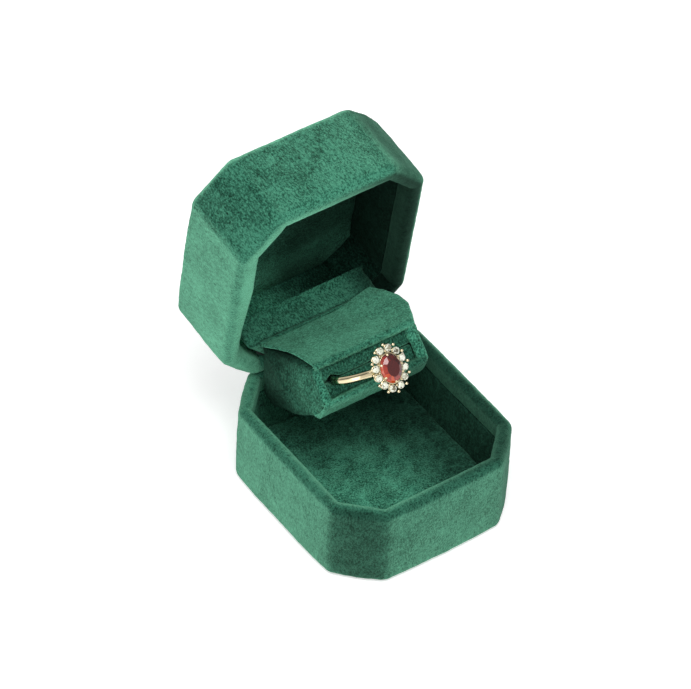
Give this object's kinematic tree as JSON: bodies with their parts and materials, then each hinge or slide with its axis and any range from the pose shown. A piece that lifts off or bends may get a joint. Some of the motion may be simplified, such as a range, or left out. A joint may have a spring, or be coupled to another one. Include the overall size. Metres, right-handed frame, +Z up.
{
  "type": "ring box",
  "caption": "Eight-sided velvet ring box standing open, with a hinged lid that raises a cushioned holder and an oval-headed ring in its slot.",
  "frame": {"origin": "on the resting face under the middle of the base", "axes": "+X along the rear hinge to the box's right-hand end seen from the front, -Y out of the front, +Z up; the rest pose is the box open"},
  "size_m": [0.055, 0.0805, 0.0865],
  "materials": {
    "velvet_outer": "short-pile velvet, brushed",
    "velvet_lining": "short-pile velvet, brushed",
    "velvet_pad": "short-pile velvet over a thin pad",
    "velvet_holder": "short-pile velvet, brushed",
    "velvet_cheek": "short-pile velvet over a thin pad",
    "slot_pad": "short-pile velvet over foam",
    "shell_plastic": "moulded, matt",
    "foot_panel": "felted paper",
    "holder_foam": "stiff foam block",
    "hinge_steel": "brushed, lightly plated",
    "hinge_rivet": "flush, brushed",
    "hinge_pin_steel": "drawn wire",
    "spring_steel": "oil-blackened wire",
    "gold": "polished yellow gold",
    "garnet": "faceted, orange-red",
    "clear_stone": "faceted, clear"
  },
  "bodies": {
    "base": {"base_shell": "shell_plastic", "base_cover": "velvet_outer", "base_lining": "velvet_lining", "base_floor_pad": "velvet_pad", "base_foot_panel": "foot_panel", "base_hinge_leaf": "hinge_steel", "base_rivets": "hinge_rivet", "hinge_pin": "hinge_pin_steel", "hinge_spring": "spring_steel"},
    "lid": {"lid_shell": "shell_plastic", "lid_cover": "velvet_outer", "lid_lining": "velvet_lining", "lid_ceiling_pad": "velvet_pad", "lid_hinge_leaf": "hinge_steel", "lid_rivets": "hinge_rivet", "lift_bar": "holder_foam", "lift_bar_cover": "velvet_holder"},
    "holder": {"holder_core": "holder_foam", "holder_top_cover": "velvet_holder", "holder_lip": "velvet_holder", "holder_back_cover": "velvet_holder", "cheek_left": "velvet_cheek", "cheek_right": "velvet_cheek", "slot_pad_upper": "slot_pad", "slot_pad_lower": "slot_pad"},
    "ring": {"ring_band": "gold", "ring_setting": "gold", "centre_stone": "garnet", "centre_claws": "gold", "halo_stones": "clear_stone", "halo_beads": "gold"}
  },
  "joints": [
    {"name": "lid_hinge", "type": "hinge", "parent": "base", "child": "lid", "pos_m": [0, 0.0287, 0.0254], "axis": [1, 0, 0], "range_deg": [0, 82], "deforming": ["hinge_spring"]},
    {"name": "holder_fold", "type": "hinge", "parent": "lid", "child": "holder", "pos_m": [0, 0.027, 0.03536], "axis": [1, 0, 0], "range_deg": [-61, 0]},
    {"name": "ring_lift", "type": "slide", "parent": "holder", "child": "ring", "axis": [0, -0.788, 0.6157], "range_m": [0, 0.006]}
  ],
  "couplings": [
    {"joint": "holder_fold", "follows": "lid_hinge", "ratio": -0.74}
  ]
}
